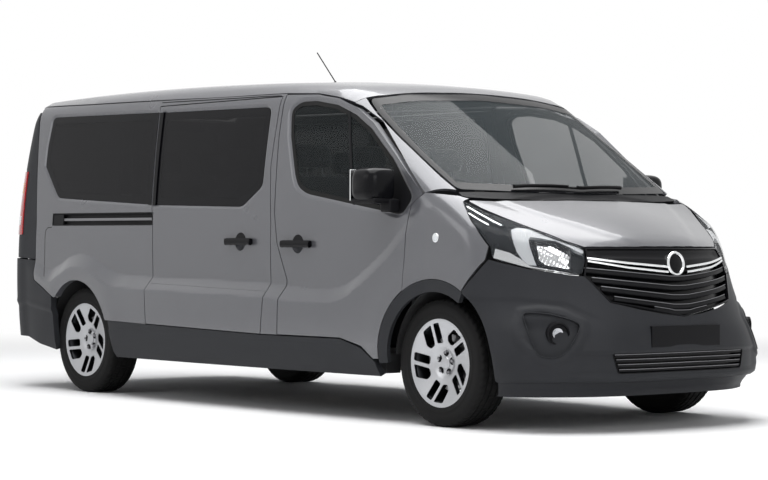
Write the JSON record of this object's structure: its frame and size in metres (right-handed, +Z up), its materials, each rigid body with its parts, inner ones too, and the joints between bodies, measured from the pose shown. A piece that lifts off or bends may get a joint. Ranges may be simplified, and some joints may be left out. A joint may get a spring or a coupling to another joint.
{
  "type": "passenger van",
  "caption": "Long-wheelbase passenger van with glazed sides, short sloping bonnet, sliding side doors, twin rear doors and hollow cabin, rolling and steered wheels.",
  "frame": {"origin": "on the ground under the middle of the van's length and width", "axes": "+Z up, the nose points to -Y, +X is the van's left side"},
  "size_m": [2.28, 5.4081, 2.1749],
  "materials": {
    "body_paint": "dark silver metallic paint",
    "dark_plastic": "grained dark grey plastic",
    "black_plastic": "black plastic",
    "lamp_clear": "clear lamp cover over bright reflectors",
    "lamp_red": "red lamp lens",
    "clear_glass": "tinted safety glass",
    "dark_glass": "dark privacy glass",
    "underbody": "dark underbody coating",
    "trim": "soft black cabin trim",
    "seat_cloth": "dark woven seat cloth",
    "cast_metal": "cast metal",
    "chassis_steel": "black chassis paint",
    "alloy": "machined and painted alloy",
    "tyre": "black tyre rubber"
  },
  "bodies": {
    "body": {"front_lamps": "lamp_clear", "front_bumper": "dark_plastic", "grilles": "black_plastic", "front_wings": "body_paint", "windscreen": "clear_glass", "windscreen_pillars": "body_paint", "scuttle": "black_plastic", "roof": "body_paint", "body_side_left": "body_paint", "body_side_right": "body_paint", "sliding_door_left": "body_paint", "sliding_door_right": "body_paint", "side_glass": "dark_glass", "tail_lamps": "lamp_red", "rear_corners": "dark_plastic", "rear_bumper": "dark_plastic", "sill_cladding": "black_plastic", "floor_pan": "underbody", "inner_panels": "underbody", "dashboard": "trim", "steering_wheel": "trim", "front_seats": "seat_cloth", "rear_benches": "seat_cloth", "engine_block": "cast_metal", "front_subframe": "chassis_steel", "rear_axle": "chassis_steel", "exhaust": "chassis_steel"},
    "bonnet": {"bonnet": "body_paint"},
    "front_door_left": {"front_door_left": "body_paint", "front_door_glass_left": "clear_glass"},
    "front_door_right": {"front_door_right": "body_paint", "front_door_glass_right": "clear_glass"},
    "rear_door_left": {"rear_door_left": "body_paint", "rear_door_glass_left": "dark_glass"},
    "rear_door_right": {"rear_door_right": "body_paint", "rear_door_glass_right": "dark_glass"},
    "knuckle_left": {"knuckle_left": "chassis_steel"},
    "knuckle_right": {"knuckle_right": "chassis_steel"},
    "wheel_front_left": {"rim_front_left": "alloy", "tyre_front_left": "tyre"},
    "wheel_front_right": {"rim_front_right": "alloy", "tyre_front_right": "tyre"},
    "wheel_rear_left": {"rim_rear_left": "alloy", "tyre_rear_left": "tyre"},
    "wheel_rear_right": {"rim_rear_right": "alloy", "tyre_rear_right": "tyre"}
  },
  "joints": [
    {"name": "steer_left", "type": "hinge", "parent": "body", "child": "knuckle_left", "pos_m": [0.738, -1.7665, 0.34], "axis": [0, 0, 1], "range_deg": [-35, 35]},
    {"name": "steer_right", "type": "hinge", "parent": "body", "child": "knuckle_right", "pos_m": [-0.738, -1.7665, 0.34], "axis": [0, 0, 1], "range_deg": [-35, 35]},
    {"name": "wheel_front_left", "type": "hinge", "parent": "knuckle_left", "child": "wheel_front_left", "pos_m": [0.8075, -1.7665, 0.34], "axis": [1, 0, 0], "continuous": true},
    {"name": "wheel_front_right", "type": "hinge", "parent": "knuckle_right", "child": "wheel_front_right", "pos_m": [-0.8075, -1.7665, 0.34], "axis": [1, 0, 0], "continuous": true},
    {"name": "wheel_rear_left", "type": "hinge", "parent": "body", "child": "wheel_rear_left", "pos_m": [0.814, 1.7315, 0.34], "axis": [1, 0, 0], "continuous": true},
    {"name": "wheel_rear_right", "type": "hinge", "parent": "body", "child": "wheel_rear_right", "pos_m": [-0.814, 1.7315, 0.34], "axis": [1, 0, 0], "continuous": true},
    {"name": "front_door_left", "type": "hinge", "parent": "body", "child": "front_door_left", "pos_m": [0.962, -1.618, 0.9], "axis": [0.085, 0, -0.9964], "range_deg": [0, 68]},
    {"name": "front_door_right", "type": "hinge", "parent": "body", "child": "front_door_right", "pos_m": [-0.962, -1.618, 0.9], "axis": [0.085, 0, 0.9964], "range_deg": [0, 68]},
    {"name": "rear_door_left", "type": "hinge", "parent": "body", "child": "rear_door_left", "pos_m": [0.828, 2.641, 0.9], "axis": [0, 0, -1], "range_deg": [0, 90]},
    {"name": "rear_door_right", "type": "hinge", "parent": "body", "child": "rear_door_right", "pos_m": [-0.828, 2.641, 0.9], "axis": [0, 0, 1], "range_deg": [0, 90]},
    {"name": "bonnet", "type": "hinge", "parent": "body", "child": "bonnet", "pos_m": [0, -1.85, 1.262], "axis": [-1, 0, 0], "range_deg": [0, 50]}
  ],
  "couplings": [
    {"joint": "steer_right", "follows": "steer_left", "ratio": 1}
  ]
}
